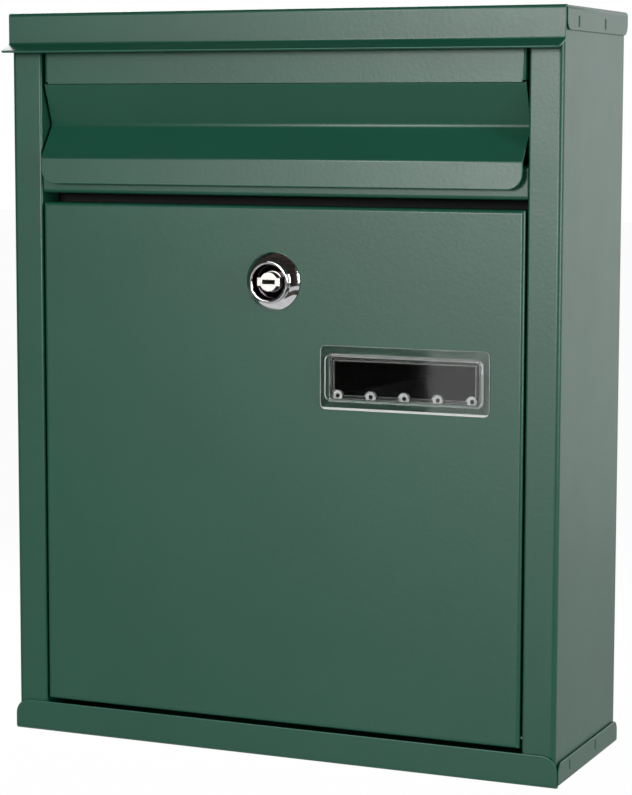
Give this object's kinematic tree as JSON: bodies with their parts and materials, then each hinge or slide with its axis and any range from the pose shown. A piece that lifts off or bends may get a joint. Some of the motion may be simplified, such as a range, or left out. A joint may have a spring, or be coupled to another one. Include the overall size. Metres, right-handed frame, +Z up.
{
  "type": "wall mounted mailbox",
  "caption": "Wall mounted mailbox of folded green sheet steel: drip-lipped cap, grooved posting flap, bottom-hinged lockable door with clear name window, bottom tray.",
  "frame": {"origin": "rear face of the back panel, at the centre of the four wall holes and at half the height", "axes": "+X to the viewer's right, +Y out of the back towards the wall, +Z up"},
  "size_m": [0.256, 0.0943, 0.32],
  "materials": {
    "green_powder_coat": "satin powder coat",
    "zinc_plated_steel": "zinc plated",
    "lock_chrome": "polished chrome",
    "plug_nickel": "satin nickel",
    "wafer_brass": "plain",
    "clear_plastic": "clear moulded plastic",
    "dark_card": "matt black card"
  },
  "bodies": {
    "cabinet": {"body_shell": "green_powder_coat", "top_cap": "green_powder_coat", "bottom_tray": "green_powder_coat", "slot_rail": "green_powder_coat", "rail_rivets": "zinc_plated_steel", "flap_hinge_rod": "zinc_plated_steel", "rod_clips": "zinc_plated_steel", "door_hinge_pins": "zinc_plated_steel"},
    "flap": {"mail_flap": "green_powder_coat"},
    "door": {"door_panel": "green_powder_coat", "lock_barrel": "lock_chrome", "lock_washer": "zinc_plated_steel", "lock_nut": "zinc_plated_steel", "name_window": "clear_plastic", "name_card": "dark_card"},
    "lock_core": {"lock_plug": "plug_nickel", "lock_wafers": "wafer_brass", "lock_cam": "zinc_plated_steel", "cam_washer": "zinc_plated_steel", "cam_screw": "zinc_plated_steel"}
  },
  "joints": [
    {"name": "flap_hinge", "type": "hinge", "parent": "cabinet", "child": "flap", "pos_m": [0, -0.0785, 0.143], "axis": [-1, 0, 0], "range_deg": [0, 60]},
    {"name": "door_hinge", "type": "hinge", "parent": "cabinet", "child": "door", "pos_m": [0, -0.0816, -0.1408], "axis": [1, 0, 0], "range_deg": [0, 110]},
    {"name": "lock_turn", "type": "hinge", "parent": "door", "child": "lock_core", "pos_m": [0, -0.0845, 0.046], "axis": [0, 1, 0], "range_deg": [0, 90]}
  ]
}
